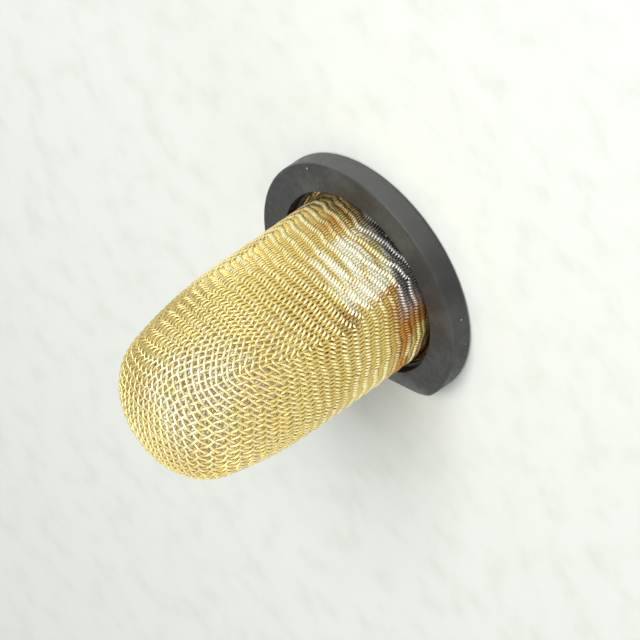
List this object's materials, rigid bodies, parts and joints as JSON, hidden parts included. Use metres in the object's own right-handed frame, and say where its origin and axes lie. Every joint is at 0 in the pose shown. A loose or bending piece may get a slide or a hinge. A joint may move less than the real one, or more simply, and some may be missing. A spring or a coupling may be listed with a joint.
{
  "type": "oil pump strainer",
  "caption": "Deep-drawn brass wire mesh cup with a domed end, held by its flange in a round rubber sealing ring.",
  "frame": {"origin": "centre of the sealing ring's flat back face, on the common axis", "axes": "+Z along the common axis towards the cup's dome; the rows of wire run along X and Y; the ring's relieved side lies midway between +X and -Y"},
  "size_m": [0.016, 0.016, 0.0186],
  "materials": {
    "black_rubber": "moulded, semi-gloss, a little dusty",
    "brass_wire": "plain-woven wire cloth, lightly tarnished"
  },
  "bodies": {
    "root": {"sealing_ring": "black_rubber", "wire_mesh_cup": "brass_wire"}
  },
  "joints": []
}
